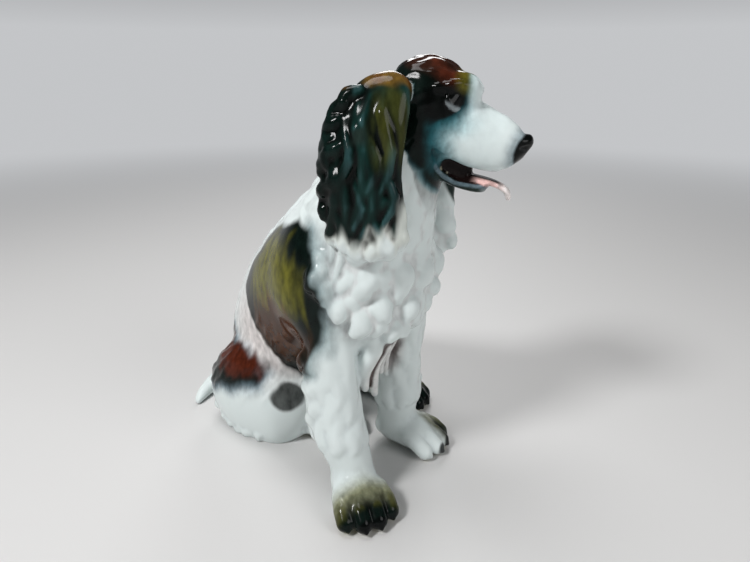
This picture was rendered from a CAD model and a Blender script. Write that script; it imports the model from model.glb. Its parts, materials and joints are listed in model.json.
"""Looks of the seated porcelain spaniel: modelled fur, airbrushed colours and a clear glaze.

The figure is modelled in clay, a grid of distances to its surface, in millimetres from the middle of
the hips on the floor: x the way the chest faces, y to the dog's left, z up. The finished skin is then
parted into the pieces.
"""
import json
import math
from collections import namedtuple

import bpy
import numpy as np
import openvdb
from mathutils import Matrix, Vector


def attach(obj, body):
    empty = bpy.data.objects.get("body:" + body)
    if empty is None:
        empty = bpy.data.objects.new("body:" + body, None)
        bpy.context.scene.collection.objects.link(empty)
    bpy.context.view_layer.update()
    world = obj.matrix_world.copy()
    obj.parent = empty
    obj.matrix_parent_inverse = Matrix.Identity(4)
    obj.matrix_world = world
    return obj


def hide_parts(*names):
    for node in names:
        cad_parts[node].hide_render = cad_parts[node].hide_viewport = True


METRES = 0.001
HIPS = np.array([-51.0, -4.4, 0.0])
STEP = 0.8
COARSE = 3
CLAY_LOW = (-70.0, -84.0, -6.0)
CLAY_HIGH = (170.0, 92.0, 252.0)
FAR = 40.0
TINY = 1e-6
BATCH = 60000
IN_FRONT = 165.0

HIP_TURN = 22.0
HEAD_MIDDLE = (120.0, 23.0, 216.0)
HEAD_TURN = 43.0
HEAD_DIP = 25.0

CAMERA_PLACE = (346.0, -174.0, 232.0)
CAMERA_HEADING = 55.0
CAMERA_DIP = 20.0
CAMERA_LENS = 27.65

BACKDROP = (0.55, 0.56, 0.575, 1)
CEILING = (0.06, 0.061, 0.063, 1)
FLOOR = (0.66, 0.655, 0.65, 1)
FLOOR_RADIUS = 6.0
FADE_START = 0.35
FADE_END = 1.8
LAMP_TARGET = (0, 0, 0.11)

Form = namedtuple("Form", "low high distance")


def unit(way):
    """A direction of length one."""
    way = np.asarray(way, float)
    return way / np.linalg.norm(way)


def resampled(rows, count):
    """Rows on a smooth curve through the given rows."""
    rows = np.asarray(rows, float)
    places = np.linspace(0, len(rows) - 1, count)
    first = np.minimum(places.astype(int), len(rows) - 2)
    share = (places - first)[:, None]
    before = rows[np.maximum(first - 1, 0)]
    here = rows[first]
    there = rows[first + 1]
    after = rows[np.minimum(first + 2, len(rows) - 1)]
    bend = 2 * before - 5 * here + 4 * there - after
    twist = 3 * here - before - 3 * there + after
    return 0.5 * (2 * here + (there - before) * share + bend * share**2 + twist * share**3)


def smooth_min(first, second, blend):
    """The smaller of two distances, with the crease between them filled over the blend's width."""
    overlap = np.maximum(blend - np.abs(first - second), 0)
    return np.minimum(first, second) - overlap * overlap / (4 * blend)


def noise(points, size, seed):
    """Smooth noise, mostly between -1 and 1, whose lumps are about the given size."""
    rng = np.random.default_rng(seed)
    total = np.zeros(len(points))
    waves = 9
    for _ in range(waves):
        way = unit(rng.normal(size=3)) * rng.uniform(0.7, 1.4) * np.pi / size
        total += np.sin(points @ way + rng.uniform(0, 2 * np.pi))
    return total / math.sqrt(waves)


class Pose:
    """A place with its own forward, left and up directions."""

    def __init__(self, origin, turn=0.0, dip=0.0):
        turn, dip = math.radians(turn), math.radians(dip)
        forward = np.array([math.cos(dip) * math.cos(turn), math.cos(dip) * math.sin(turn), -math.sin(dip)])
        left = np.array([-math.sin(turn), math.cos(turn), 0.0])
        self.origin = np.array(origin, float)
        self.axes = np.array([forward, left, np.cross(forward, left)])

    def at(self, places):
        """Places given in the pose's own directions, as places in the clay."""
        return self.origin + np.asarray(places, float) @ self.axes

    def local(self, places):
        """Places in the clay, in the pose's own directions."""
        return (places - self.origin) @ self.axes.T

    def ball(self, middle, radii):
        """An egg whose radii lie along the pose's directions."""
        return ball(self.at(middle), radii, self.axes)

    def strand(self, middles, radii):
        """A strand given in the pose's own directions."""
        return strand(self.at(middles), radii)

    def tube(self, middles, radii, across=(0, 1, 0)):
        """A tube given in the pose's own directions."""
        return tube(self.at(middles), radii, np.asarray(across, float) @ self.axes)


def ball(middle, radii, axes=np.eye(3)):
    """An egg-shaped form."""
    middle = np.asarray(middle, np.float32)
    radii = np.asarray(radii, np.float32)
    axes = np.asarray(axes, np.float32)

    def distance(points):
        local = (points - middle) @ axes.T / radii
        size = np.linalg.norm(local, axis=1)
        slope = np.linalg.norm(local / radii, axis=1)
        return size * (size - 1) / np.maximum(slope, TINY)

    reach = np.abs(axes.T) @ radii
    return Form(middle - reach, middle + reach, distance)


def strand(middles, radii):
    """A round string of tapering pieces."""
    middles = np.asarray(middles, np.float32)
    radii = np.asarray(radii, np.float32)

    def distance(points):
        nearest = None
        for start, end, near, far in zip(middles[:-1], middles[1:], radii[:-1], radii[1:]):
            way = end - start
            share = np.clip((points - start) @ way / max(float(way @ way), TINY), 0, 1)
            gap = np.linalg.norm(points - start - share[:, None] * way, axis=1) - near - (far - near) * share
            nearest = gap if nearest is None else np.minimum(nearest, gap)
        return nearest

    return Form(middles.min(0) - radii.max(), middles.max(0) + radii.max(), distance)


def tube(middles, radii, across, facing=None, count=32):
    """An oval tube through the middles; first radii lie across, and sections face onward or as given."""
    rows = resampled(np.hstack([middles, radii]), count)
    middle = rows[:, :3]
    radius = np.maximum(rows[:, 3:], TINY + 0.2)
    onward = np.gradient(middle, axis=0) if facing is None else resampled(facing, count)
    onward = onward / np.linalg.norm(onward, axis=1)[:, None]
    side = across - onward * (onward @ across)[:, None]
    side = side / np.linalg.norm(side, axis=1)[:, None]
    other = np.cross(onward, side)

    def distance(points):
        parts = [part_distance(points[at : at + BATCH]) for at in range(0, len(points), BATCH)]
        return np.concatenate(parts)

    def part_distance(points):
        ahead = points @ onward.T - np.sum(middle * onward, axis=1)
        if facing is None:
            gaps = np.sum(middle**2, axis=1) - 2 * points @ middle.T
            first = np.argmin(gaps, axis=1)
            rows = np.arange(len(points))
            first = np.where(ahead[rows, first] < 0, first - 1, first)
        else:
            first = np.sum(ahead >= 0, axis=1) - 1
            rows = np.arange(len(points))
        first = np.clip(first, 0, count - 2)
        near, far = ahead[rows, first], ahead[rows, first + 1]
        share = np.clip(near / np.maximum(near - far, TINY), 0, 1)[:, None]
        offset = points - middle[first] * (1 - share) - middle[first + 1] * share
        sideways = np.sum(offset * (side[first] * (1 - share) + side[first + 1] * share), axis=1)
        upright = np.sum(offset * (other[first] * (1 - share) + other[first + 1] * share), axis=1)
        size = radius[first] * (1 - share) + radius[first + 1] * share
        level = np.hypot(sideways / size[:, 0], upright / size[:, 1])
        slope = np.hypot(sideways / size[:, 0] ** 2, upright / size[:, 1] ** 2)
        flat = level * (level - 1) / np.maximum(slope, TINY)
        flat = np.maximum(flat, -size.min(axis=1))
        return np.maximum(flat, np.maximum(-ahead[:, 0], ahead[:, -1]))

    reach = radius.max()
    return Form(middle.min(0) - reach, middle.max(0) + reach, distance)


class Clay:
    """Distances to the figure's surface on a regular grid, below zero inside."""

    def __init__(self, step):
        self.low = np.array(CLAY_LOW)
        self.step = step
        self.shape = np.ceil((np.array(CLAY_HIGH) - self.low) / step).astype(int) + 1
        self.values = np.full(self.shape, FAR, np.float32)

    def copy(self):
        """The same clay again."""
        other = Clay(self.step)
        other.shape, other.values = self.shape, self.values.copy()
        return other

    def window(self, form, margin):
        """The part of the grid round a form, with its points."""
        first = np.maximum(np.floor((form.low - margin - self.low) / self.step).astype(int), 0)
        last = np.minimum(np.ceil((form.high + margin - self.low) / self.step).astype(int) + 1, self.shape)
        lines = [self.low[i] + self.step * np.arange(first[i], last[i]) for i in range(3)]
        points = np.stack(np.meshgrid(*lines, indexing="ij"), axis=-1)
        return tuple(slice(a, b) for a, b in zip(first, last)), points.reshape(-1, 3).astype(np.float32)

    def add(self, form, blend, margin=3.0):
        """Joins a form to the clay."""
        span, points = self.window(form, blend + margin)
        block = self.values[span]
        self.values[span] = smooth_min(block, form.distance(points).reshape(block.shape), blend)

    def carve(self, form, blend):
        """Cuts a form out of the clay."""
        span, points = self.window(form, blend + self.step)
        block = self.values[span]
        self.values[span] = -smooth_min(-block, form.distance(points).reshape(block.shape), blend)

    def sample(self, points):
        """The clay's distances at any points."""
        place = np.clip((points - self.low) / self.step, 0, self.shape - 1.001)
        first = place.astype(int)
        share = place - first
        total = np.zeros(len(points))
        for corner in np.ndindex(2, 2, 2):
            weight = np.prod(np.where(corner, share, 1 - share), axis=1)
            index = first + corner
            total += weight * self.values[index[:, 0], index[:, 1], index[:, 2]]
        return total

    def normals(self, points):
        """Directions straight out of the clay at any points."""
        reach = 1.5
        slopes = [self.sample(points + reach * way) - self.sample(points - reach * way) for way in np.eye(3)]
        slopes = np.stack(slopes, axis=1)
        return slopes / np.maximum(np.linalg.norm(slopes, axis=1), TINY)[:, None]

    def settle(self, points, depth):
        """Points moved straight to the given depth below the surface."""
        for _ in range(4):
            points = points - self.normals(points) * (self.sample(points) + depth)[:, None]
        return points

    def cast(self, points, way):
        """Points moved along a direction until they meet the clay; those that miss are left out."""
        points = np.asarray(points, float)
        points = points[self.sample(points) > 0]
        for _ in range(60):
            points = points + np.maximum(self.sample(points) - 0.2, 0)[:, None] * 0.7 * unit(way)
        return points[self.sample(points) < 1.0]

    def refined(self, times):
        """The same clay on a finer grid, with its surface kept smooth."""
        values = self.values
        for axis in range(3):
            rows = np.moveaxis(values, axis, 0)
            finer = np.empty(((len(rows) - 1) * times + 1,) + rows.shape[1:], np.float32)
            for part in range(times):
                finer[part:-1:times] = rows[:-1] * (1 - part / times) + rows[1:] * (part / times)
            finer[-1] = rows[-1]
            values = np.moveaxis(finer, 0, axis)
        fine = Clay(self.step / times)
        fine.shape = np.array(values.shape)
        fine.values = blurred(np.ascontiguousarray(values), (1, 2, 3, 2, 1))
        return fine


def blurred(values, weights):
    """A grid averaged with its neighbours along each axis."""
    reach = len(weights) // 2
    for axis in range(3):
        padding = [(reach, reach) if i == axis else (0, 0) for i in range(3)]
        padded = np.pad(values, padding, mode="edge")
        total = np.zeros_like(values)
        for place, weight in enumerate(weights):
            part = [slice(None)] * 3
            part[axis] = slice(place, place + values.shape[axis])
            total += np.float32(weight / sum(weights)) * padded[tuple(part)]
        values = total
    return values


PELVIS = Pose((0, 0, 0), HIP_TURN)
HEAD = Pose(HEAD_MIDDLE, HEAD_TURN, HEAD_DIP)
HEAD_LEVEL = Pose(HEAD_MIDDLE, HEAD_TURN)
RIGHT_PAW = Pose((121.5, -29.8, 0), -13)
LEFT_PAW = Pose((91.2, 30.0, 0), 28)
RIGHT_FOOT = Pose(PELVIS.at((0, -39.5, 0)), HIP_TURN + 14)
LEFT_FOOT = Pose(PELVIS.at((0, 39.5, 0)), HIP_TURN - 4)
RIGHT_FOOT_LENGTH = 72.0
LEFT_FOOT_LENGTH = 88.0
TOE_SETBACK = 3.0
PAW_REACH = 23.5


def trunk_form():
    """Trunk and neck: x, y, z, half depth and half width of each section, and its forward lean."""
    rows = np.array(
        [
            (0.0, 0.0, -4.0, 45, 41),
            (0.0, 0.0, 22.0, 52, 45),
            (6.7, -0.8, 58.0, 56, 45),
            (34.7, -2.4, 93.0, 55, 45),
            (73.9, -3.2, 123.0, 52, 46),
            (89.6, -2.4, 147.0, 40, 40),
            (98.6, 0.8, 168.0, 32, 32),
            (104.2, 7.2, 188.0, 27, 27),
            (108.6, 12.8, 203.0, 23, 23),
            (112.0, 16.0, 212.0, 16, 16),
            (112.0, 16.0, 216.0, 8, 8),
        ]
    )
    leans = np.radians((0, 0, 14, 26, 32, 34, 34, 32, 28, 25, 25))
    facing = np.stack([np.sin(leans), 0 * leans, np.cos(leans)], axis=1)
    return tube(rows[:, :3], rows[:, 3:], np.array([1.0, 0, 0]), facing, 40)


def haunch_form(side):
    """A folded thigh."""
    along = (-37, -31, -12, 9, 28, 40, 45)
    lift = (18, 20, 23, 25, 26, 25, 24)
    width = (8, 18, 25, 26, 23, 14, 6)
    height = (11, 24, 38, 41, 35, 21, 10)
    middles = [(x, side * 39.5, z) for x, z in zip(along, lift)]
    return PELVIS.tube(middles, list(zip(width, height)))


def foreleg_form(side):
    """A foreleg down to the wrist, with a full cuff above its pastern."""
    heights = (117, 93, 70, 52, 41, 32, 24, 10)
    if side < 0:
        ahead = (92, 97.3, 101.6, 104, 105.6, 108.6, 111.5, 114)
        aside = (-30, -30.5, -30.5, -30.2, -30, -29, -27.5, -26)
    else:
        ahead = (92, 90, 88, 87, 86, 85.5, 85, 84)
        aside = (24, 25, 25, 25, 25.5, 25.5, 26, 26)
    depth = (16, 15.5, 14, 13.8, 14.4, 13.8, 12.8, 12)
    width = (14, 13.5, 12.8, 13, 14, 13.6, 12.6, 12)
    return tube(list(zip(ahead, aside, heights)), list(zip(depth, width)), np.array([1.0, 0, 0]))


def tail_form():
    """The tail, curled round to the right."""
    girth = np.array((7.5, 8.5, 7.3, 4.9, 2.6, 1.2))
    back = (-34, -50, -60, -61, -57, -55)
    aside = (0, -4, -19, -36, -49, -52)
    return PELVIS.tube(list(zip(back, aside, girth)), np.stack([girth, girth], axis=1), (0, 0, 1))


def foot_form(pose, length):
    """A hind foot up to its toes."""
    shares = (0.0, 0.1, 0.4, 0.66, 0.82, 0.9, 0.95)
    height = np.array((12, 19, 20, 19, 17.5, 14, 8)) / 2
    width = np.array((18, 25, 26, 28, 29, 28, 20)) / 2
    middles = [(length * share, 0, z) for share, z in zip(shares, height)]
    return pose.tube(middles, np.stack([width, height], axis=1))


def paw_form(pose):
    """The middle of a fore paw."""
    middles = [(-17, 0, 5), (-14, 0, 8.5), (-4, 0, 11), (6, 0, 10.4), (14, 0, 7.8), (20, 0, 5)]
    return pose.tube(middles, [(6, 5), (10, 8.5), (13, 11), (15, 10.2), (14.5, 7.6), (10, 4.6)])


def ear_form(side):
    """A hanging ear flap."""
    if side < 0:
        back = (-18, -22.5, -28, -31, -31.5, -29.5, -28, -27)
        drop = (12, 7, -6, -22, -38, -53, -64, -71)
    else:
        back = (-8, -9, -11, -12, -12, -11, -10, -10)
        drop = (12, 6, -12, -32, -53, -70, -83, -90)
    aside = (16, 22.5, 29, 32, 33.5, 34, 34, 33.5)
    width = (8, 13.5, 17.5, 18.5, 19, 19, 15.5, 8)
    thickness = (5, 6.5, 7, 7.2, 7.2, 7, 6, 4)
    middles = [(x, side * y, z) for x, y, z in zip(back, aside, drop)]
    return HEAD_LEVEL.tube(middles, list(zip(width, thickness)), (1, 0, 0))


def skull_form():
    """Skull and muzzle in one plain form, used to part the pieces."""
    along = (-27, -23.5, -14, -2, 8, 17.5, 27, 38, 45, 49)
    lift = (-2, -1, -1, -2, -1.6, -4, -4.2, -3, 0, 3.5)
    height = (7, 14, 20, 22, 22, 16.5, 15, 13, 9.6, 5.4)
    width = (7, 14, 21, 23, 21, 16, 14.5, 13.5, 10.5, 6)
    return HEAD.tube([(x, 0, z) for x, z in zip(along, lift)], list(zip(width, height)))


def cheek_form(side):
    """A full cheek, down to the angle of the jaw."""
    return HEAD.ball((2.4, side * 11.6, -11.5), (13.8, 9.2, 14.5))


def flew_form(side):
    """The upper lip that hangs beside the mouth."""
    return HEAD.ball((22, side * 8.6, -9.4), (15, 6.9, 9.6))


def jaw_form():
    """The dropped lower jaw."""
    along = (1.5, 11.5, 22, 32, 38, 40)
    lift = (-23.5, -26.6, -28.9, -27.8, -26.2, -25.4)
    width = (12.5, 12, 11, 9.6, 7, 3.7)
    height = (6, 4, 2.8, 2.6, 2.2, 1.4)
    return HEAD.tube([(x, 0, z) for x, z in zip(along, lift)], list(zip(width, height)))


def tongue_form():
    """The tongue, over the jaw and down at its tip."""
    middles = [(14, 0, -26), (24, 0, -25.5), (34, 0, -23), (43, 0, -21.4), (49.5, 0, -22), (53, 0, -25.8)]
    return HEAD.tube(middles, [(6, 1.6), (6.8, 1.6), (6.6, 1.6), (5.8, 1.6), (5, 1.7), (3, 1.3)])


def model_head(clay):
    """Skull, brows, cheeks, muzzle, nose, mouth and eyes."""
    clay.add(HEAD.ball((-5.5, 0, -0.5), (22, 21, 21)), 9)
    clay.add(HEAD.ball((-6, 0, -20), (15, 13, 13)), 9)
    muzzle = [(6, 0, -4), (17, 0, -4), (27, 0, -4.2), (36, 0, -2.2), (43, 0, 0.2), (46, 0, 1.6)]
    clay.add(HEAD.tube(muzzle, [(17, 16), (15, 15), (14, 14.6), (12.2, 12.8), (9.8, 8.8), (6.5, 5.6)]), 5)
    clay.add(jaw_form(), 3)
    for side in (-1, 1):
        clay.add(HEAD.ball((8.5, side * 7.5, 11.5), (8, 7.5, 8.5)), 5)
        clay.add(cheek_form(side), 5)
        clay.add(flew_form(side), 4)
        clay.add(HEAD.ball((34, side * 7.2, -7.4), (10, 6.6, 9)), 3.5)
        clay.add(HEAD.ball((41.5, side * 4.6, -5.4), (4.8, 5.2, 6)), 2.5)
    model_mouth(clay)
    model_nose(clay)
    for side in (-1, 1):
        model_eye(clay, side)


def model_nose(clay):
    """The nose pad, blunt in front, with its nostrils and the groove below it."""
    middles = [(44.4, 0, 6.2), (46, 0, 3.8), (45.8, 0, -0.8), (44.8, 0, -6.5)]
    clay.add(HEAD.tube(middles, [(3.6, 2.2), (6.2, 3.8), (5.4, 3.5), (3, 2.8)]), 1.6)
    for side in (-1, 1):
        clay.add(HEAD.ball((43.8, side * 4.9, 1.4), (3.6, 2.9, 3.8)), 1.4)
        nostril = [(49.6, side * 2.2, 1.4), (48, side * 4.8, 1.6), (44.6, side * 7.8, 0.2)]
        clay.carve(HEAD.strand(nostril, [1.1, 1.5, 0.8]), 0.6)
    clay.carve(HEAD.strand([(49.6, 0, -0.5), (48.4, 0, -4.5), (46.4, 0, -10.5)], [0.5, 0.7, 0.9]), 0.7)


def model_mouth(clay):
    """The mouth, open along both sides round a dark middle, with its rim, teeth and tongue."""
    middles = [(2, 0, -21), (14, 0, -22.5), (24, 0, -23), (30, 0, -22.5)]
    clay.add(HEAD.tube(middles, [(11, 6), (9, 6), (7, 5.5), (4.5, 4.5)]), 1)
    slit = [
        (6.5, 18, -16.4), (11, 16, -19.6), (17, 14, -23),
        (25, 12.4, -24.2), (33, 10.6, -21.8), (41, 8, -19.6),
    ]
    for side in (-1, 1):
        line = [(x, side * y, z) for x, y, z in slit]
        clay.carve(HEAD.strand(line, [0.7, 2.6, 4.6, 5, 4.4, 4]), 0.8)
    clay.add(rim_form(), 0.8)
    for tooth in teeth():
        clay.add(HEAD.ball(tooth, (0.8, 0.8, 1.2)), 0.4)
    clay.add(tongue_form(), 0.6)
    clay.carve(HEAD.strand([(28, 0, -20), (36, 0, -17), (43, 0, -15), (48, 0, -16)], [2.4, 4, 4.4, 3.6]), 0.6)


def rim_form():
    """The rim of the lower jaw, from one corner of the mouth round to the other."""
    rim = [
        (7, 14, -21.6), (12, 12.6, -25.2), (18, 11.4, -27.8),
        (25, 10.4, -28.2), (32, 8.8, -26.2), (38, 5.8, -24.8),
    ]
    mirrored = [(x, -y, z) for x, y, z in rim[::-1]]
    return HEAD.strand(rim + [(40.4, 0, -24.6)] + mirrored, [0.6] + [0.9] * 11 + [0.6])


def teeth():
    """The middles of the lower teeth, in the head's own directions."""
    return [(15 + 4 * n, side * (9.6 - 0.4 * n), -26.2 + 0.2 * n) for side in (-1, 1) for n in range(3)]


def model_eye(clay, side):
    """An eye in its socket, between two lids and below the brow."""
    middle = np.array([6.4, side * 16.8, 6.4])
    outward = unit((0.5, side * 0.78, 0.34))
    forward = unit(np.cross(np.cross(outward, (1, 0, -0.15)), outward))
    upward = np.cross(outward, forward) * -side
    brow = [(15, side * 4.5, 15.5), (11.5, side * 10.5, 15), (4.5, side * 16, 13.6), (-3, side * 18.6, 9)]
    clay.add(HEAD.strand(brow, [1.6, 2.6, 2.4, 1.2]), 2.0)
    clay.carve(HEAD.ball(middle + 1.4 * outward, (5, 5, 4.2)), 1.0)
    clay.add(HEAD.ball(middle - 0.8 * outward, (3.3, 3.3, 3.3)), 0.3)
    for rise, girth in ((3.4, 1.1), (-3.3, 1.5)):
        corners = [(4.8, -0.6), (2.7, 0.75 * rise), (0, rise), (-2.9, 0.8 * rise), (-6, 0.4)]
        lid = [middle + a * forward + b * upward + 0.9 * outward for a, b in corners]
        clay.add(HEAD.strand(lid, [0.5, girth, girth, girth, 0.5]), 0.6)


def model_tufts(clay):
    """The full tufts of the bib, in three rows that lie under its locks, the lowest in an arc."""
    thickness, proud = 7.0, 3.2
    for height, count, arc in ((97, 3, 0.022), (113, 4, 0.006), (131, 5, 0.0)):
        asides = [19 * (tuft - (count - 1) / 2) - 3 for tuft in range(count)]
        places = clay.cast([(IN_FRONT, aside, height + arc * aside**2) for aside in asides], (-1, 0, 0))
        for middle, out in zip(clay.settle(places, thickness - proud), clay.normals(places)):
            down = unit((0, 0, -1) + out * out[2])
            axes = np.array([down, np.cross(out, down), out])
            clay.add(ball(middle, (9, 7.5, thickness), axes), 3)


def model_toes(clay, pose, reach, spread):
    """Four round toes with short claws at the front of a foot."""
    for row in (-1.5, -0.5, 0.5, 1.5):
        aside = row * spread
        tip = reach if abs(row) < 1 else reach - 4.5
        knuckle = [(tip - 23, 0.6 * aside, 12.4), (tip - 13, 0.95 * aside, 12)]
        toe = knuckle + [(tip - 5.5, 1.05 * aside, 9.2), (tip - 0.5, 1.08 * aside, 5.6)]
        clay.add(pose.strand(toe, [4.4, 5, 5.2, 5]), 0.8)
        claw = [(tip + 3, 1.08 * aside, 4.6), (tip + 4.4, 1.09 * aside, 3.4)]
        clay.add(pose.strand(claw, [1.8, 1.2]), 0.6)


def comb(clay, roots, flow, length, width, relief, wave=0.0, seed=0, lean=0.0, stray=3.2, tips=1.0):
    """Locks of hair laid over the clay from the roots along the flow, as strands."""
    widths = (0.5, 0.85, 1.0, 1.0, 0.85, 0.6, 0.22)
    reliefs = (0.1, 0.5, 0.8, 1.0, 1.0, 0.9, 0.5)
    rng = np.random.default_rng(seed)
    count = len(roots)
    lengths = length * rng.uniform(0.8, 1.2, count)
    sizes = width * rng.uniform(0.85, 1.15, count) / 2
    phase = rng.uniform(-stray, stray, count)
    place = clay.settle(roots, 0)
    paths = []
    for step in range(len(widths)):
        size = sizes * widths[step]
        raised = relief * reliefs[step] * (1 + (tips - 1) * step / (len(widths) - 1))
        paths.append((clay.settle(place, size - raised), size))
        out = clay.normals(place)
        way = flow(place)
        way = way - out * np.sum(way * out, axis=1)[:, None]
        way = way / np.maximum(np.linalg.norm(way, axis=1), TINY)[:, None]
        swing = wave * np.sin(phase + step * 1.15) + lean
        way = way + np.cross(out, way) * swing[:, None]
        place = clay.settle(place + way * (lengths / (len(widths) - 1))[:, None], 0)
    locks = []
    for lock in range(count):
        locks.append(strand([path[lock] for path, _ in paths], [size[lock] for _, size in paths]))
    return locks


def rows_of_roots(rows, columns, seed, jitter):
    """Staggered places over two ranges, each given as start, stop and spacing."""
    rng = np.random.default_rng(seed)
    places = []
    for number, row in enumerate(np.arange(*rows)):
        shift = 0.5 * columns[2] * (number % 2)
        for column in np.arange(*columns) + shift:
            places.append((row + rng.uniform(-jitter, jitter), column + rng.uniform(-jitter, jitter)))
    return np.array(places)


def constant(way):
    """A flow that is the same everywhere."""
    way = unit(way)
    return lambda points: np.tile(way, (len(points), 1))


def downward(points):
    """A flow down the chest that parts at its middle."""
    way = np.tile((0.0, 0.0, -1.0), (len(points), 1))
    way[:, 1] = 0.012 * (points[:, 1] + 4)
    return way


def bib_edge(aside):
    """The height at which the bib ends, in an arc across the chest."""
    return 108 + 0.014 * (aside + 3) ** 2


def chest_locks(clay):
    """Rows of curls down the front of the neck and chest, fuller towards the arc that ends them."""
    places = rows_of_roots((184, 100, -9), (-46, 44, 10.5), 3, 2.0)
    starts = np.stack([np.full(len(places), IN_FRONT), places[:, 1], places[:, 0]], axis=1)
    roots = clay.cast(starts, (-1, 0, 0))
    short = roots.astype(np.float32)
    to_face = np.minimum(jaw_form().distance(short), skull_form().distance(short))
    on_bib = roots[:, 2] > bib_edge(roots[:, 1]) + 4
    roots = roots[(roots[:, 0] > 95) & on_bib & (to_face > 6)]
    relief = np.interp(roots[:, 2], (110, 138, 160, 180), (3.5, 3.0, 1.5, 0.8))
    locks = comb(clay, roots, downward, 14, 12, relief, 0.85, 5, tips=1.2)
    edge = clay.cast([(IN_FRONT, y, bib_edge(y)) for y in np.arange(-34, 31, 9)], (-1, 0, 0))
    return locks + comb(clay, edge, downward, 11, 12, 3.4, 0.7, 8, tips=1.3)


def crown_locks(clay):
    """Low waved locks over the skull, swept back from the brow, and down the cheeks."""
    places = rows_of_roots((-20, 12, 6.5), (-15, 16, 6.5), 41, 1.4)
    starts = HEAD.at([(x, y, 40) for x, y in places])
    roots = clay.cast(starts, -HEAD.axes[2])

    def swept(points):
        local = HEAD.local(points)
        return np.stack([0 * local[:, 0] - 1, 0.05 * local[:, 1], 0 * local[:, 0]], axis=1) @ HEAD.axes

    locks = comb(clay, roots, swept, 15, 7, 1.1, 0.6, 43)
    down_back = constant(np.array((-0.5, 0, -1)) @ HEAD.axes)
    for side in (-1, 1):
        places = rows_of_roots((-14, 4, 6), (-18, 8, 7), 45, 1.4)
        cheek = clay.cast(HEAD.at([(x, side * 40, z) for x, z in places]), -side * HEAD.axes[1])
        cheek = cheek[np.abs(HEAD.local(cheek)[:, 1]) < 25]
        locks += comb(clay, cheek, down_back, 13, 6.5, 0.8, 0.5, 47)
    return locks


def belly_locks():
    """Four full locks that hang below the chest between the forelegs."""
    locks = []
    hanging = ((110, -13, 5.8, 60), (108, -5, 5.4, 53), (103, 3, 5, 63), (98, 10.5, 4.6, 57))
    for ahead, aside, girth, low in hanging:
        upper = [(ahead + 4, aside, 104), (ahead + 2, aside + 2, 90)]
        lower = [(ahead - 3, aside - 2, 74), (ahead - 6, aside + 1.5, low)]
        radii = [(girth,), (girth,), (0.85 * girth,), (0.4 * girth,)]
        locks.append(strand(resampled(upper + lower, 9), resampled(radii, 9)[:, 0]))
    return locks


def ear_locks(clay, side):
    """Long waved locks down the outside of an ear, curls up its back edge and along its foot."""
    level = HEAD_LEVEL
    middle, foot = (-31, -71) if side < 0 else (-12, -90)
    form = ear_form(side)
    down = constant((0, 0, -1))

    def outside(places):
        starts = level.at([(x, side * 62, z) for x, z in places])
        found = clay.cast(starts, -side * level.axes[1])
        return found[form.distance(found.astype(np.float32)) < 3]

    locks = []
    for number, column in enumerate(np.arange(-14, 15, 5.8)):
        roots = outside([(middle + column, 7 - 0.04 * (column - 8) ** 2)])
        length = -foot - 2 - 0.06 * column**2 + 5 * (number % 2)
        locks += comb(clay, roots, down, length, 7.4, 2.8, 0.36, 40 + number, 0.06 * side, 0.5)
    loose = ((-8, -8), (4, -12), (11, -22), (-2, -30), (8, -42), (-10, -40))
    strays = outside([(middle + x, z) for x, z in loose])
    locks += comb(clay, strays, down, 30, 5.6, 3.4, 0.5, 57, 0.04 * side, 0.8)
    edge = (
        (-2, 9), (-8, 4), (-12, -3), (-14, -11), (-16, -20),
        (-17, -29), (-17, -38), (-9, -14), (-11, -26),
    )
    down_back = level.axes.T @ (-0.5, 0, -1)
    curls = outside([(middle + x, z) for x, z in edge])
    locks += comb(clay, curls, constant(down_back), 13, 8.5, 4.2, 0.9, 61)
    ends = outside([(middle + 4 + x, foot + 13 + 0.02 * x * x) for x in np.arange(-18, 19, 6.5)])
    locks += comb(clay, ends, down, 13, 8.5, 3.4, 0.8, 67, tips=1.3)
    return locks


def leg_locks(clay):
    """Low feathering down the forelegs, a fringe behind each and a fuller row of tufts at its cuff."""
    locks = []
    down = constant((0, 0, -1))
    down_back = constant((-0.15, 0, -1))
    for side, middle in ((-1, (102, -30.5)), (1, (88, 25))):
        for number, height in enumerate((96, 82, 68, 56)):
            for turn in np.radians(np.arange(0, 360, 45) + 22 * number):
                way = (-math.cos(turn), -math.sin(turn), 0)
                root = clay.cast([(middle[0] - 30 * way[0], middle[1] - 30 * way[1], height)], way)
                locks += comb(clay, root, down, 20, 10, 1.5, 0.4, int(height) + len(locks))
        for height in (90, 78, 66, 55):
            for turn, relief in ((180, 3.0), (212, 4.4), (236, 5.2), (262, 3.6)):
                way = (-math.cos(math.radians(turn)), side * math.sin(math.radians(turn)), 0)
                root = clay.cast([(middle[0] - 32 * way[0], middle[1] - 32 * way[1], height)], way)
                locks += comb(clay, root, down_back, 19, 10, relief, 0.5, int(height) + turn, tips=1.3)
        for number in range(9):
            turn = 2 * math.pi * number / 9
            way = (-math.cos(turn), -math.sin(turn), 0)
            root = clay.cast([(middle[0] + 3 - 30 * way[0], middle[1] - 30 * way[1], 46)], way)
            locks += comb(clay, root, down, 13, 10, 1.4, 0.5, 70 + number, tips=1.3)
    return locks


def haunch_locks(clay, side):
    """Lumps of fur round the back of a thigh, and low relief over the rest of it."""
    places = (
        (-44, 10), (-40, 18), (-36, 8), (-30, 14), (-26, 6),
        (-18, 9), (-10, 6), (-2, 8), (8, 6), (18, 7),
    )
    starts = PELVIS.at([(x, side * 110, z) for x, z in places])
    roots = clay.cast(starts, -side * PELVIS.axes[1])
    down_back = PELVIS.axes.T @ (-0.6, 0, -0.8)
    return comb(clay, roots, constant(down_back), 12, 8.5, 1.8, 0.6, 90)


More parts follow.
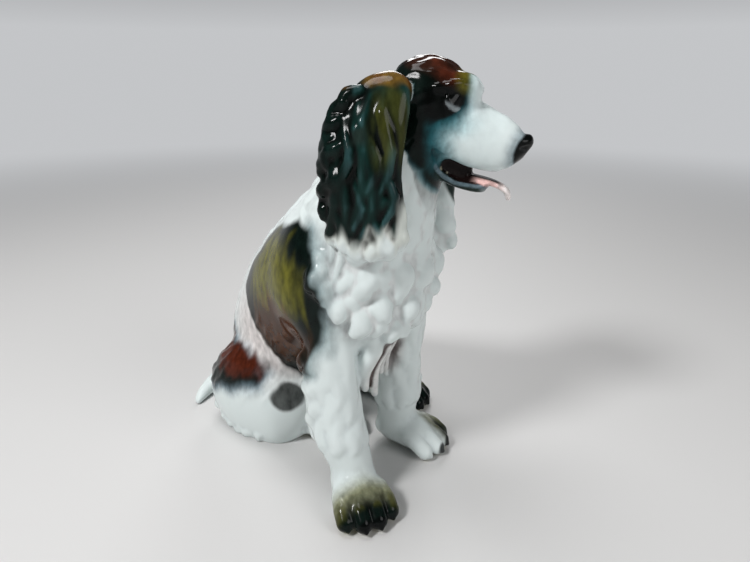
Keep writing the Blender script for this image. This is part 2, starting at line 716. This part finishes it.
def flank_locks(clay, side):
    """Low strokes of short hair over the lower flank and the rump."""
    places = rows_of_roots((92, 40, -7), (-46, 62, 10), 21, 3.0)
    starts = np.stack([places[:, 1], np.full(len(places), side * 100.0), places[:, 0]], axis=1)
    roots = clay.cast(starts, (0, -side, 0))
    return comb(clay, roots, constant((-0.55, 0, -0.8)), 17, 5.5, 0.6, 0.35, 23)


def nape_locks(clay):
    """Low locks down the back of the neck."""
    places = rows_of_roots((200, 130, -9), (-30, 40, 9), 31, 2.0)
    starts = np.stack([np.full(len(places), 0.0), places[:, 1], places[:, 0]], axis=1)
    roots = clay.cast(starts, (1, 0, 0))
    return comb(clay, roots, constant((-0.6, 0, -0.8)), 17, 7, 1.2, 0.4, 33)


def tail_locks(clay):
    """Strands along the tail."""
    starts = PELVIS.at([(-100, y, z) for y in (-6, -16, -26, -36) for z in (4, 10)])
    roots = clay.cast(starts, PELVIS.axes[0])
    return comb(clay, roots, constant(PELVIS.axes.T @ (0.1, -1, 0)), 16, 5, 1.2, 0.3, 37)


def model():
    """The whole figure in clay, with its fur."""
    coarse = Clay(STEP * COARSE)
    coarse.add(trunk_form(), 1, 30)
    for side in (-1, 1):
        coarse.add(ball((84, side * 30 - 3, 123), (24, 16, 30)), 9)
        coarse.add(haunch_form(side), 9)
        coarse.add(foreleg_form(side), 7)
    clay = coarse.refined(COARSE)
    model_tufts(clay)
    clay.add(tail_form(), 3)
    for pose, length in ((RIGHT_FOOT, RIGHT_FOOT_LENGTH), (LEFT_FOOT, LEFT_FOOT_LENGTH)):
        clay.add(foot_form(pose, length), 4)
        model_toes(clay, pose, length - TOE_SETBACK, 7)
    for pose in (RIGHT_PAW, LEFT_PAW):
        clay.add(paw_form(pose), 4)
        model_toes(clay, pose, PAW_REACH, 8)
    model_head(clay)
    for side in (-1, 1):
        clay.add(ear_form(side), 2)
    base = clay.copy()
    soft_locks = chest_locks(base) + leg_locks(base)
    locks = belly_locks() + nape_locks(base) + tail_locks(base) + crown_locks(base)
    for side in (-1, 1):
        locks += ear_locks(base, side) + haunch_locks(base, side) + flank_locks(base, side)
    for lock in soft_locks:
        clay.add(lock, 1.7, 1.0)
    for lock in locks:
        clay.add(lock, 0.8, 1.0)
    clay.values = blurred(clay.values, (1, 2, 1))
    floor = clay.low[2] + clay.step * np.arange(clay.shape[2])
    clay.values = np.maximum(clay.values, -floor[None, None, :].astype(np.float32))
    return clay


def skin(clay):
    """The clay's surface as points and four-sided faces."""
    grid = openvdb.FloatGrid(FAR)
    grid.copyFromArray(np.ascontiguousarray(clay.values, dtype=np.float32))
    points, faces = grid.convertToQuads(isovalue=0.0)
    return points * clay.step + clay.low, faces


def distances(points):
    """How far each point lies from each piece's plain form."""
    head = [skull_form()]
    for side in (-1, 1):
        head += [cheek_form(side), flew_form(side)]
    forms = {
        "body_shell": [trunk_form()],
        "head_shell": head,
        "lower_jaw": [jaw_form()],
        "tongue": [tongue_form()],
        "right_ear": [ear_form(-1)],
        "left_ear": [ear_form(1)],
        "right_foreleg": [foreleg_form(-1), paw_form(RIGHT_PAW)],
        "left_foreleg": [foreleg_form(1), paw_form(LEFT_PAW)],
        "right_haunch": [haunch_form(-1)],
        "left_haunch": [haunch_form(1)],
        "right_hind_foot": [foot_form(RIGHT_FOOT, RIGHT_FOOT_LENGTH)],
        "left_hind_foot": [foot_form(LEFT_FOOT, LEFT_FOOT_LENGTH)],
        "tail": [tail_form()],
    }
    points = points.astype(np.float32)
    return {name: np.min([form.distance(points) for form in group], axis=0) for name, group in forms.items()}


def tint(red, green, blue):
    """A colour written as on a screen, from 0 to 255, as light."""
    screen = np.array([red, green, blue]) / 255
    return np.where(screen < 0.04045, screen / 12.92, ((screen + 0.055) / 1.055) ** 2.4)


WHITE = tint(225, 234, 233)
BLUSH = tint(214, 196, 192)
BLACK = tint(7, 9, 8)
BLACK_GREEN = tint(10, 20, 17)
FACE_TEAL = tint(30, 84, 92)
EAR_TEAL = tint(20, 52, 48)
PALE_TEAL = tint(140, 196, 205)
OLIVE = tint(94, 92, 28)
BROWN = tint(66, 36, 13)
RED_BROWN = tint(74, 32, 19)
AMBER = tint(110, 82, 32)
GREY_BLUE = tint(112, 132, 142)
GREY = tint(88, 92, 92)
PINK = tint(226, 186, 180)
CREAM = tint(206, 202, 178)
DARK_OLIVE = tint(62, 64, 24)
THROAT_DARK = tint(52, 42, 42)
JAW_DARK = tint(30, 42, 38)
MOUTH_DARK = tint(22, 14, 13)
PALE_GREY = tint(178, 188, 192)
KNEE_GREY = tint(48, 50, 48)
RECESS_BROWN = tint(58, 34, 30)

SADDLE = (
    (83, 158), (60, 152), (37, 140), (21, 118), (16, 104), (28, 91), (41, 75), (48, 62), (55, 52),
    (78, 64), (100, 80), (104, 92), (109, 106), (110, 129), (102, 146), (93, 156),
)
RUMP = ((-40, 78), (-14, 67), (18, 62), (31, 57), (43, 51), (41, 43), (24, 37), (8, 33), (-4, 27), (-40, 24))
MASK = (
    (6, 21), (10.8, 10.3), (12.6, 6.5), (9, 0.5), (5.5, -4.5), (4.5, -9), (5.5, -14), (9, -19),
    (12, -24), (24, -28), (24, -40), (-40, -40), (-40, 30), (2, 30),
)
NOSE = ((44, 7.2), (43.2, 1.5), (43.2, -3), (44.6, -6.6), (46.6, -8), (60, -8), (60, 12), (45.4, 12))


def outline_gap(places, outline):
    """Distance from an outline drawn on a flat view, below zero inside it."""
    corners = np.array(outline, float)
    gap = np.full(len(places), np.inf)
    inside = np.zeros(len(places), bool)
    for start, end in zip(corners, np.roll(corners, -1, axis=0)):
        way = end - start
        offset = places - start
        share = np.clip(offset @ way / (way @ way), 0, 1)
        gap = np.minimum(gap, np.linalg.norm(offset - share[:, None] * way, axis=1))
        crosses = (start[1] > places[:, 1]) != (end[1] > places[:, 1])
        reach = way[0] * offset[:, 1] / (way[1] if abs(way[1]) > TINY else TINY)
        inside ^= crosses & (offset[:, 0] < reach)
    return np.where(inside, -gap, gap)


def soft(gap, width):
    """One inside an edge and nothing outside it, over a soft width."""
    share = np.clip(0.5 - gap / width, 0, 1)
    return share * share * (3 - 2 * share)


def oval(places, middle, radii):
    """Distance in shares of its radii from an oval's edge, below zero inside."""
    return np.linalg.norm((places - np.asarray(middle, float)) / np.asarray(radii, float), axis=1) - 1


class Paint:
    """Colours laid over one another on the skin, and how much paint there is."""

    def __init__(self, count):
        self.colour = np.tile(WHITE, (count, 1))
        self.cover = np.zeros(count)

    def lay(self, share, colour):
        """A layer of colour where the share is one."""
        share = np.clip(share, 0, 1)
        self.colour += share[:, None] * (colour - self.colour)
        self.cover += share * (1 - self.cover)


def paint_body(paint, points, gaps, ridge):
    """Saddle, rump and knee patches, and the blush of the thin glaze on flank and chest."""
    seen = points[:, [0, 2]]
    groove = soft(ridge + 0.2, 0.7)
    paint.lay(0.22 * groove, PALE_GREY)
    flank = soft(oval(points, (30, 0, 74), (34, 90, 30)), 1.2)
    paint.lay(0.6 * flank, BLUSH)
    chest = soft(95 - points[:, 0], 16) * soft(points[:, 2] - 186, 20) * soft(100 - points[:, 2], 10)
    paint.lay(0.2 * chest * groove, BLUSH)
    off_ears = soft(2 - np.minimum(gaps["right_ear"], gaps["left_ear"]), 2)
    right_inside = soft(gaps["right_foreleg"] - 2, 3) * soft(-27 - points[:, 1], 5)
    left_leg = soft(gaps["left_foreleg"] - 3, 3)
    bare = off_ears * (1 - np.clip(right_inside + left_leg, 0, 1))
    shadow = soft(oval(points, (92, -32, 168), (16, 16, 18)), 1.0) * soft(-noise(points, 5, 71), 0.8)
    paint.lay(0.2 * bare * shadow, GREY)
    further_back = np.stack([20 * soft(8 - points[:, 1], 12), 0 * points[:, 1]], axis=1)
    saddle = outline_gap(seen + further_back, SADDLE)
    cover = bare * soft(saddle, 4)
    paint.lay(0.7 * bare * soft(saddle - 3.5, 9) * soft(90 - points[:, 0], 12), FACE_TEAL)
    paint.lay(cover, BLACK_GREEN)
    streak = 0.16 * noise(points * (1, 1, 0.2), 5, 73)
    paint.lay(cover * soft(oval(seen, (64, 120), (31, 27)) + streak, 0.7), OLIVE)
    paint.lay(cover * soft(oval(seen, (67, 88), (30, 23)) + streak, 0.8), BROWN)
    paint.lay(0.8 * bare * soft(saddle + 2, 3) * soft(-saddle - 3.5, 4), BLACK_GREEN)
    rump = outline_gap(seen, RUMP)
    near = soft(points[:, 1] - 12, 20)
    paint.lay(near * soft(rump - 2, 12), GREY_BLUE)
    paint.lay(near * soft(rump + 2, 9), BLACK_GREEN)
    paint.lay(near * soft(oval(seen, (12, 54), (30, 9)) + streak, 0.8), RED_BROWN)
    for side in (-1, 1):
        knee = oval(points, PELVIS.at((37, side * 55, 39)), (10, 11, 9.5))
        paint.lay(0.94 * soft(knee, 0.35), KNEE_GREY)


def paint_belly(paint, points, ridge):
    """Dark recesses between the locks that hang below the chest."""
    place = soft(oval(points, (102, 0, 76), (20, 17, 27)), 0.4) * soft(points[:, 2] - 97, 6)
    paint.lay(0.35 * place, BLUSH)
    paint.lay(0.92 * place * soft(ridge - 0.2, 0.7), RECESS_BROWN)


def paint_paws(paint, points, gaps, ridge):
    """Olive insteps, black toes and claws, and a pale rim round the sole."""
    feet = (
        ("right_foreleg", RIGHT_PAW, PAW_REACH, 0, 1.0),
        ("left_foreleg", LEFT_PAW, PAW_REACH, 3, 0.9),
        ("left_hind_foot", LEFT_FOOT, LEFT_FOOT_LENGTH - TOE_SETBACK, 0, 1.0),
        ("right_hind_foot", RIGHT_FOOT, RIGHT_FOOT_LENGTH - TOE_SETBACK, 0, 1.0),
    )
    nearest = np.min([gaps[name] for name, *_ in feet], axis=0)
    for name, pose, tip, shift, strength in feet:
        local = pose.local(points) - (tip, shift, 0)
        close = soft(np.abs(local[:, 1] + shift) - 20, 4) * soft(np.abs(local[:, 0] + 10) - 26, 6)
        near = close * soft(points[:, 2] - 25, 8) * soft(gaps[name] - nearest - 1, 1)
        across = soft(-local[:, 1] - 1, 8) if shift else 1.0
        paint.lay(0.85 * strength * near * across * soft(-local[:, 0] - 17, 14), OLIVE)
        toes = soft(-local[:, 0] - 7.5, 10) * soft(3 - points[:, 2], 2)
        paint.lay(strength * near * across * toes, BLACK_GREEN)
        paint.lay(0.6 * near * across * soft(-local[:, 0] - 14, 8) * soft(ridge + 0.2, 0.6), BLACK)
        paint.lay(0.5 * near * across * toes * soft(0.4 - ridge, 0.5) * soft(local[:, 0] + 4, 6), OLIVE)
        paint.lay(0.95 * near * soft(-local[:, 0] + 2.4, 1.2) * soft(2.0 - points[:, 2], 1.0), BLACK)
        paint.lay(0.8 * near * soft(points[:, 2] - 2, 1.4), CREAM)


def paint_head(paint, points, gaps, ridge):
    """The dark mask and crown, the nose and the eyes."""
    local = HEAD.local(points)
    seen = local[:, [0, 2]]
    own = np.minimum(np.minimum(gaps["head_shell"], gaps["lower_jaw"]), gaps["tongue"])
    off_ears = soft(own - np.minimum(gaps["right_ear"], gaps["left_ear"]) + 1.5, 2)
    throat = soft(oval(local, (-4, 0, -36), (24, 26, 17)), 1.0)
    paint.lay(0.8 * throat * off_ears, THROAT_DARK)
    here = off_ears * soft(own - 6, 5)
    mask = outline_gap(seen, MASK)
    low = soft(local[:, 2] - 2, 14)
    paint.lay(0.08 * here * soft(mask - 24, 20), PALE_TEAL)
    paint.lay(0.75 * here * soft(mask - 8, 15) * low, PALE_TEAL)
    paint.lay(0.5 * here * soft(mask - 3, 7), PALE_TEAL)
    paint.lay(here * soft(mask - 1.2 - 4 * low, 4 + 9 * low), FACE_TEAL)
    paint.lay(here * soft(mask + 2.5 * low, 2.5 + 7 * low), BLACK_GREEN)
    paint.lay(here * soft(oval(local, (2, 0, 4), (12, 40, 13)), 0.5) * soft(mask + 1, 2), BLACK)
    crown = here * soft(mask, 4) * soft(13 - local[:, 2], 7)
    paint.lay(0.8 * crown, RED_BROWN)
    paint.lay(0.6 * crown * soft(-mask - 1, 6) * soft(mask + 6, 6), AMBER)
    paint.lay(0.55 * crown * soft(noise(points, 7, 77), 1.0), BLACK_GREEN)
    paint.lay(0.7 * here * soft(mask - 2, 5) * soft(-mask - 4, 5) * soft(11 - local[:, 2], 5), OLIVE)
    nose = outline_gap(seen, NOSE)
    paint.lay(0.75 * here * soft(nose - 3.4, 8), GREY_BLUE)
    paint.lay(here * soft(nose, 1.6), BLACK)
    for side in (-1, 1):
        lids = soft(oval(local, (6.2, side * 17, 5.6), (7, 7, 5.6)), 0.3) * soft(0.45 - ridge, 0.4)
        paint.lay(0.5 * here * lids * soft(mask, 3) * soft(local[:, 2] - 4.6, 2), PALE_GREY)
        eye = soft(oval(local, (7, side * 17.6, 6.8), (3, 3.2, 2.8)), 0.3)
        paint.lay(here * eye, BLACK)


def paint_mouth(paint, points, gaps):
    """Dark mouth and jaw with a pale rim line and teeth, and the tongue, dark in its hollow."""
    local = HEAD.local(points)
    jaw = soft(gaps["lower_jaw"] - gaps["head_shell"], 2) * soft(gaps["lower_jaw"] - gaps["body_shell"], 3)
    paint.lay(jaw * soft(local[:, 0] - 40, 8), JAW_DARK)
    inside = soft(oval(local, (24, 0, -22.8), (19, 13, 6.4)), 0.2) * soft(np.abs(local[:, 1]) - 10.2, 1.6)
    paint.lay(inside, MOUTH_DARK)
    paint.lay(0.6 * soft(rim_form().distance(points.astype(np.float32)) - 0.3, 0.7), GREY_BLUE)
    for tooth in teeth():
        paint.lay(0.6 * soft(oval(local, (tooth[0], tooth[1], tooth[2] + 0.7), (0.9, 1.2, 0.8)), 0.5), CREAM)
    nearest = np.minimum(gaps["lower_jaw"], gaps["head_shell"])
    tongue = soft(gaps["tongue"] - nearest, 1) * soft(gaps["tongue"] - 1.2, 0.8)
    paint.lay(tongue, MOUTH_DARK)
    paint.lay(tongue * soft(33 - local[:, 0], 6), PINK)
    paint.lay(tongue * 0.6 * soft(45 - local[:, 0], 8), WHITE)
    hollow = soft(np.abs(local[:, 1]) - 4, 2) * soft(local[:, 0] - 45, 5) * soft(-22.5 - local[:, 2], 1.5)
    paint.lay(tongue * hollow, MOUTH_DARK)


def paint_ears(paint, points, gaps, ridge):
    """Black-green ears with teal locks, amber at the root, white at the ends and pale inside."""
    local = HEAD_LEVEL.local(points)
    others = np.minimum(gaps["head_shell"], gaps["body_shell"])
    streak = noise(points * (1, 1, 0.22), 5, 79)
    spread = np.interp(local[:, 2], (-40, -20, 0, 12), (33, 31, 25, 15))
    ears = (("right_ear", -1, -31, -71, 22, 0.18, 4), ("left_ear", 1, -12, -90, 9, 0.1, -1.5))
    for name, side, middle, foot, limit, pale, wrap in ears:
        here = soft(gaps[name] - others, 3) * soft(spread - wrap - side * local[:, 1], 4)
        back = local[:, 0] - middle
        end = np.maximum(foot + 14 - 4 * soft(np.abs(back) - 8, 10) + 6 * streak, foot + 9)
        front = soft(back - limit + pale * np.maximum(-28 - local[:, 2], 0), 4)
        dark = here * soft(end - local[:, 2], 8) * front
        inner = soft(-back - 6, 8)
        paint.lay(0.3 * here * soft(end - 4 - local[:, 2], 10), CREAM)
        paint.lay(dark, BLACK_GREEN)
        paint.lay((0.15 + 0.45 * inner) * dark * soft(0.1 - ridge, 0.9) * soft(-streak - 0.3, 1.6), EAR_TEAL)
        paint.lay(0.1 * inner * dark * soft(0.6 - ridge, 0.5) * soft(-streak - 0.2, 1.2), PALE_TEAL)
        paint.lay(0.8 * dark * soft(ridge + 0.25, 0.6), BLACK)
        olive = soft(oval(local[:, [0, 2]], (middle + 13, -6), (10, 17)) + 0.2 * streak, 0.8)
        paint.lay(0.7 * dark * olive * soft(-ridge - 0.2, 0.6), DARK_OLIVE)
        root = here * soft(11 - local[:, 2] - 0.12 * back + 1.5 * streak, 4)
        paint.lay(0.8 * root, AMBER)
        paint.lay(0.5 * root * soft(noise(points, 6, 83), 1.2), RED_BROWN)


def painted(points, clay, gaps):
    """The colour and cover of the paint at every point of the skin."""
    paint = Paint(len(points))
    shift = np.stack([noise(points, 9, seed) for seed in (81, 82, 83)], axis=1)
    ridge = ridges(points, clay)
    paint_body(paint, points + 1.1 * shift, gaps, ridge)
    paint_belly(paint, points, ridge)
    paint_paws(paint, points + 0.5 * shift, gaps, ridge)
    paint_head(paint, points + 0.5 * shift, gaps, ridge)
    paint_ears(paint, points + 0.6 * shift, gaps, ridge)
    paint_mouth(paint, points, gaps)
    return np.hstack([paint.colour, paint.cover[:, None]])


def ridges(points, clay):
    """How far each point stands out of the evened surface: one on a sharp crest, minus one in a groove."""
    evened = clay.copy()
    for _ in range(3):
        evened.values = blurred(evened.values, (1, 2, 3, 2, 1))
    return np.clip(evened.sample(points) / 0.5, -1, 1)


def parted(gaps, faces, count):
    """The number of the piece that each face belongs to: the nearest one, with its borders evened."""
    nearest = np.argmin(list(gaps.values()), axis=0)
    shares = np.eye(len(gaps), dtype=np.float32)[nearest]
    uses = np.bincount(faces.ravel(), minlength=count)
    for _ in range(8):
        spread = shares[faces].mean(axis=1)
        for piece in range(len(gaps)):
            total = np.bincount(faces.ravel(), np.repeat(spread[:, piece], 4), minlength=count)
            shares[:, piece] = total / np.maximum(uses, 1)
    return np.argmax(shares[faces].mean(axis=1), axis=1)


def rims(faces):
    """Loops of points round the open edges of a piece, in the order in which its faces pass them."""
    edges = np.concatenate([faces[:, [corner, (corner + 1) % 4]] for corner in range(4)])
    known = set(map(tuple, edges.tolist()))
    onward = {}
    for start, end in edges.tolist():
        if (end, start) not in known:
            onward.setdefault(start, []).append(end)
    loops = []
    while onward:
        place = next(iter(onward))
        loop = []
        while place in onward:
            loop.append(place)
            ends = onward[place]
            following = ends.pop()
            if not ends:
                del onward[place]
            place = following
        loops.append(loop)
    return loops


def closed(points, faces, clay):
    """A piece capped inside the clay at its neighbours: points, faces and whose paint each point wears."""
    parts = [points]
    wearers = list(range(len(points)))
    shapes = faces.tolist()
    for loop in rims(faces):
        inward = -clay.normals(points[loop])
        deep = clay.sample(points[loop] + 1.6 * inward) < -0.8
        sunk = points[loop] + np.where(deep, 1.6, 0.5)[:, None] * inward
        middle = sunk.mean(axis=0)
        outer = loop
        for share in (0.0, 0.3, 0.65):
            ring = sunk + share * (middle - sunk)
            if share:
                shallow = clay.sample(ring) > -0.8
                ring[shallow] = clay.settle(ring[shallow], 0.8)
            parts.append(ring)
            inner = list(range(len(wearers), len(wearers) + len(loop)))
            wearers += loop
            for near in range(len(loop)):
                far = (near + 1) % len(loop)
                shapes.append((outer[far], outer[near], inner[near], inner[far]))
            outer = inner
        parts.append(middle[None, :])
        for near in range(len(loop)):
            shapes.append((outer[(near + 1) % len(loop)], outer[near], len(wearers)))
        wearers.append(loop[0])
    return np.concatenate(parts), shapes, wearers


def add_node(nodes, kind, inputs=None, **settings):
    """A new shader node with its settings and the values of its unlinked inputs."""
    node = nodes.new(kind)
    for name, value in settings.items():
        setattr(node, name, value)
    for name, value in (inputs or {}).items():
        node.inputs[name].default_value = value
    return node


def floor():
    """A plain pale floor that fades into the pale backdrop."""
    bpy.ops.mesh.primitive_circle_add(vertices=96, radius=FLOOR_RADIUS, fill_type="NGON")
    floor = bpy.context.object
    floor.name = "floor"
    material = bpy.data.materials.new("floor")
    material.use_nodes = True
    nodes, links = material.node_tree.nodes, material.node_tree.links
    shader = nodes["Principled BSDF"]
    shader.inputs["Base Color"].default_value = FLOOR
    shader.inputs["Roughness"].default_value = 0.55
    place = add_node(nodes, "ShaderNodeTexCoord")
    away = add_node(nodes, "ShaderNodeVectorMath", operation="LENGTH")
    links.new(place.outputs["Object"], away.inputs[0])
    span = {"From Min": FADE_START, "From Max": FADE_END}
    fade = add_node(nodes, "ShaderNodeMapRange", span, interpolation_type="SMOOTHSTEP")
    links.new(away.outputs["Value"], fade.inputs["Value"])
    shown = add_node(nodes, "ShaderNodeMath", operation="MULTIPLY")
    links.new(fade.outputs["Result"], shown.inputs[0])
    links.new(seen_rays(nodes, links), shown.inputs[1])
    pale = add_node(nodes, "ShaderNodeEmission", {"Color": BACKDROP})
    mix = add_node(nodes, "ShaderNodeMixShader")
    links.new(shown.outputs["Value"], mix.inputs["Fac"])
    links.new(shader.outputs["BSDF"], mix.inputs[1])
    links.new(pale.outputs["Emission"], mix.inputs[2])
    links.new(mix.outputs["Shader"], nodes["Material Output"].inputs["Surface"])
    floor.data.materials.append(material)


def lamps():
    """Soft studio lamps: name, place and size in metres, and power in watts."""
    rows = (
        ("key", (0.15, -0.95, 1.05), 0.28, 11.8),
        ("fill", (0.95, 0.25, 0.7), 0.6, 3.6),
        ("top", (-0.25, -0.1, 1.25), 0.6, 6.2),
        ("back", (-0.8, 0.7, 0.8), 0.5, 3.6),
    )
    for name, spot, size, power in rows:
        lamp = bpy.data.lights.new(name, "AREA")
        lamp.shape = "DISK"
        lamp.size = size
        lamp.energy = power
        holder = bpy.data.objects.new(name, lamp)
        holder.location = spot
        aim = Vector(LAMP_TARGET) - Vector(spot)
        holder.rotation_euler = aim.to_track_quat("-Z", "Y").to_euler()
        bpy.context.scene.collection.objects.link(holder)


def studio():
    """A pale backdrop that darkens overhead, dimmer for the light it gives than for what is seen."""
    world = bpy.data.worlds.new("studio")
    world.use_nodes = True
    nodes, links = world.node_tree.nodes, world.node_tree.links
    background = nodes["Background"]
    direction = add_node(nodes, "ShaderNodeTexCoord")
    parts = add_node(nodes, "ShaderNodeSeparateXYZ")
    links.new(direction.outputs["Generated"], parts.inputs["Vector"])
    height = add_node(nodes, "ShaderNodeMapRange", {"From Min": 0.06, "From Max": 0.28})
    links.new(parts.outputs["Z"], height.inputs["Value"])
    sky = add_node(nodes, "ShaderNodeMix", {"A": BACKDROP, "B": CEILING}, data_type="RGBA")
    links.new(height.outputs["Result"], sky.inputs["Factor"])
    links.new(sky.outputs["Result"], background.inputs["Color"])
    strength = add_node(nodes, "ShaderNodeMapRange", {"To Min": 0.6, "To Max": 1.0})
    links.new(seen_rays(nodes, links), strength.inputs["Value"])
    links.new(strength.outputs["Result"], background.inputs["Strength"])
    bpy.context.scene.world = world


def seen_rays(nodes, links):
    """A value of one for rays from the camera, also by way of a reflection or through glass."""
    path = nodes.new("ShaderNodeLightPath")
    total = path.outputs["Is Camera Ray"]
    for name in ("Is Glossy Ray", "Is Transmission Ray"):
        either = add_node(nodes, "ShaderNodeMath", operation="MAXIMUM")
        links.new(total, either.inputs[0])
        links.new(path.outputs[name], either.inputs[1])
        total = either.outputs["Value"]
    return total


def camera():
    """The photo's point of view."""
    data = bpy.data.cameras.new("camera")
    data.lens = CAMERA_LENS
    data.sensor_width = 36
    holder = bpy.data.objects.new("camera", data)
    holder.location = (np.array(CAMERA_PLACE) + HIPS) * METRES
    heading, dip = math.radians(CAMERA_HEADING), math.radians(CAMERA_DIP)
    way = Vector((-math.sin(heading) * math.cos(dip), math.cos(heading) * math.cos(dip), -math.sin(dip)))
    holder.rotation_euler = way.to_track_quat("-Z", "Y").to_euler()
    bpy.context.scene.collection.objects.link(holder)
    bpy.context.scene.camera = holder


def glaze(name, streak):
    """Paint under a clear glaze: brush streaks in the colour, and a slightly uneven shine."""
    material = bpy.data.materials.new(name)
    material.use_nodes = True
    nodes, links = material.node_tree.nodes, material.node_tree.links
    shader = nodes["Principled BSDF"]
    paint = add_node(nodes, "ShaderNodeVertexColor", layer_name="paint")
    place = add_node(nodes, "ShaderNodeTexCoord")
    stretch = add_node(nodes, "ShaderNodeMapping", {"Scale": (260, 260, 260 * streak)})
    links.new(place.outputs["Object"], stretch.inputs["Vector"])
    brush = add_node(nodes, "ShaderNodeTexNoise", {"Scale": 1.0, "Detail": 5.0})
    links.new(stretch.outputs["Vector"], brush.inputs["Vector"])
    levels = {"From Min": 0.3, "From Max": 0.7, "To Min": 0.6, "To Max": 1.5}
    level = add_node(nodes, "ShaderNodeMapRange", levels)
    links.new(brush.outputs["Fac"], level.inputs["Value"])
    varied = add_node(nodes, "ShaderNodeMix", data_type="RGBA", blend_type="MULTIPLY")
    links.new(paint.outputs["Alpha"], varied.inputs["Factor"])
    links.new(paint.outputs["Color"], varied.inputs["A"])
    links.new(level.outputs["Result"], varied.inputs["B"])
    links.new(varied.outputs["Result"], shader.inputs["Base Color"])
    pools = add_node(nodes, "ShaderNodeTexNoise", {"Scale": 60.0, "Detail": 3.0})
    links.new(place.outputs["Object"], pools.inputs["Vector"])
    shine = add_node(nodes, "ShaderNodeMapRange", {"To Min": 0.05, "To Max": 0.2})
    links.new(pools.outputs["Fac"], shine.inputs["Value"])
    links.new(shine.outputs["Result"], shader.inputs["Roughness"])
    bump = add_node(nodes, "ShaderNodeBump", {"Strength": 0.12, "Distance": 0.0008})
    links.new(pools.outputs["Fac"], bump.inputs["Height"])
    links.new(bump.outputs["Normal"], shader.inputs["Normal"])
    shader.inputs["IOR"].default_value = 1.45
    shader.inputs["Specular IOR Level"].default_value = 0.15
    return material


GLAZES = {
    "body_glaze": 0.5,
    "head_glaze": 0.8,
    "jaw_glaze": 1.0,
    "tongue_glaze": 1.0,
    "ear_glaze": 0.2,
    "leg_glaze": 0.5,
    "foot_glaze": 0.7,
}

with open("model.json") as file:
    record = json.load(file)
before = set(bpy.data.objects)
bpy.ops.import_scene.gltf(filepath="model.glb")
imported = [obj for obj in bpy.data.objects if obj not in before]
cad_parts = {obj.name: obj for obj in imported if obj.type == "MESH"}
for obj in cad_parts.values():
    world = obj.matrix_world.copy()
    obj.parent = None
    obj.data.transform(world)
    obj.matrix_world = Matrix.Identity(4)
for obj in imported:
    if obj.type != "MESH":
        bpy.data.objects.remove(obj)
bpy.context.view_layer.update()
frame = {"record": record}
scene = bpy.context.scene
scene.view_settings.view_transform = "Standard"
floor()
lamps()
studio()
camera()
clay = model()
points, faces = skin(clay)
gaps = distances(points)
colours = painted(points, clay, gaps)
normals = clay.normals(points)
owner = parted(gaps, faces, len(points))
glazes = {slot: glaze(slot, streak) for slot, streak in GLAZES.items()}
slots = {part["node"]: part["material_slot"] for part in frame["record"]["subparts"]}
for number, name in enumerate(gaps):
    used, mine = np.unique(faces[owner == number], return_inverse=True)
    places, shapes, wearers = closed(points[used], mine.reshape(-1, 4), clay)
    capped = len(places) - len(used)
    mesh = bpy.data.meshes.new(name + "_skin")
    mesh.from_pydata((places + HIPS) * METRES, [], shapes)
    attribute = mesh.color_attributes.new("paint", "FLOAT_COLOR", "POINT")
    attribute.data.foreach_set("color", colours[used][wearers].astype(np.float32).ravel())
    mesh.shade_smooth()
    mesh.normals_split_custom_set_from_vertices(np.vstack([normals[used], np.zeros((capped, 3))]))
    mesh.materials.append(glazes[slots[name]])
    piece = bpy.data.objects.new(name + "_skin", mesh)
    scene.collection.objects.link(piece)
    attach(piece, "root")
    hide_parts(name)
